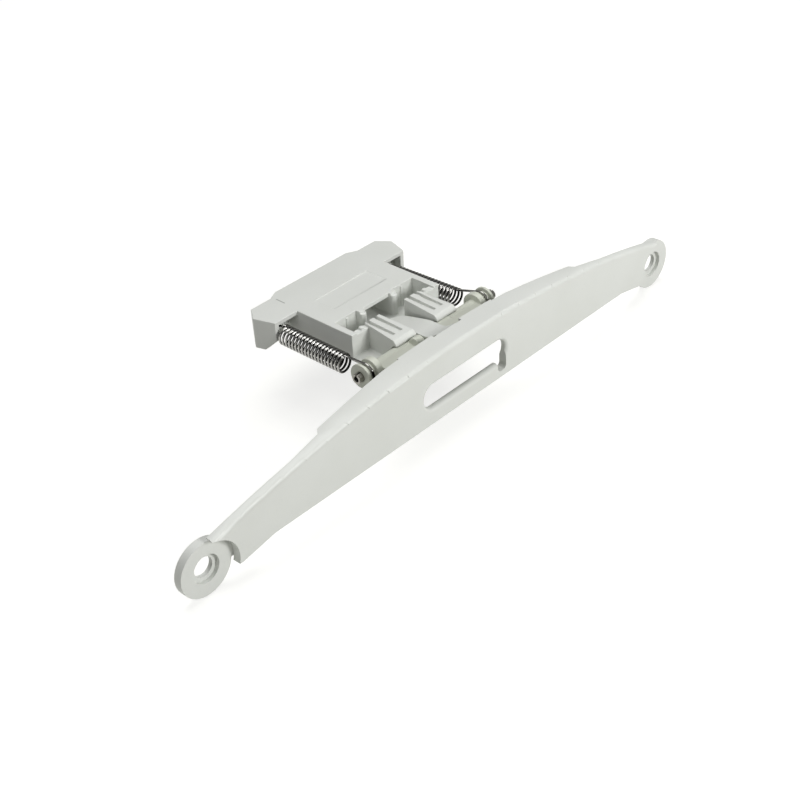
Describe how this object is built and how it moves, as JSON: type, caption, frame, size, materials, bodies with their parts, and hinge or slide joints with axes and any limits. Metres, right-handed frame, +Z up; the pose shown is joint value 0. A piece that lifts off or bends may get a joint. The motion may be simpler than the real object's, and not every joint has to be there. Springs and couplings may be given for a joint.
{
  "type": "dryer door lock",
  "caption": "Bowed plastic face bar with a screw eyelet at each end, a hook slot in the middle and a spring-loaded rocker and sliding catch carriage behind it.",
  "frame": {"origin": "midway between the two screw eyelets' hole axes, on the eyelets' rear seating faces", "axes": "+X along the bar, from eyelet to eyelet; +Y from the bar's front face back into the appliance; +Z up, towards the bar's bowed edge"},
  "size_m": [0.2436, 0.0712, 0.0339],
  "materials": {
    "white_plastic": "smooth moulded, slight sheen",
    "grey_plastic": "smooth moulded acetal",
    "spring_wire": "drawn spring wire",
    "pin_steel": "plain rolled steel"
  },
  "bodies": {
    "bar": {"handle_bar": "white_plastic", "pivot_pin": "pin_steel"},
    "carriage": {"latch_carriage": "white_plastic", "spring_left": "spring_wire", "spring_right": "spring_wire"},
    "rocker": {"rocker": "grey_plastic"}
  },
  "joints": [
    {"name": "carriage_slide", "type": "slide", "parent": "bar", "child": "carriage", "axis": [0, 1, 0], "range_m": [0, 0.0054], "stiffness_N_per_m": 790, "springref_m": -0.004, "deforming": ["spring_left", "spring_right"]},
    {"name": "rocker_turn", "type": "hinge", "parent": "bar", "child": "rocker", "pos_m": [0, 0.0113, 0.0181], "axis": [1, 0, 0], "range_deg": [0, 30]}
  ],
  "couplings": [
    {"joint": "rocker_turn", "follows": "carriage_slide", "rad_per_m": 96.9}
  ]
}
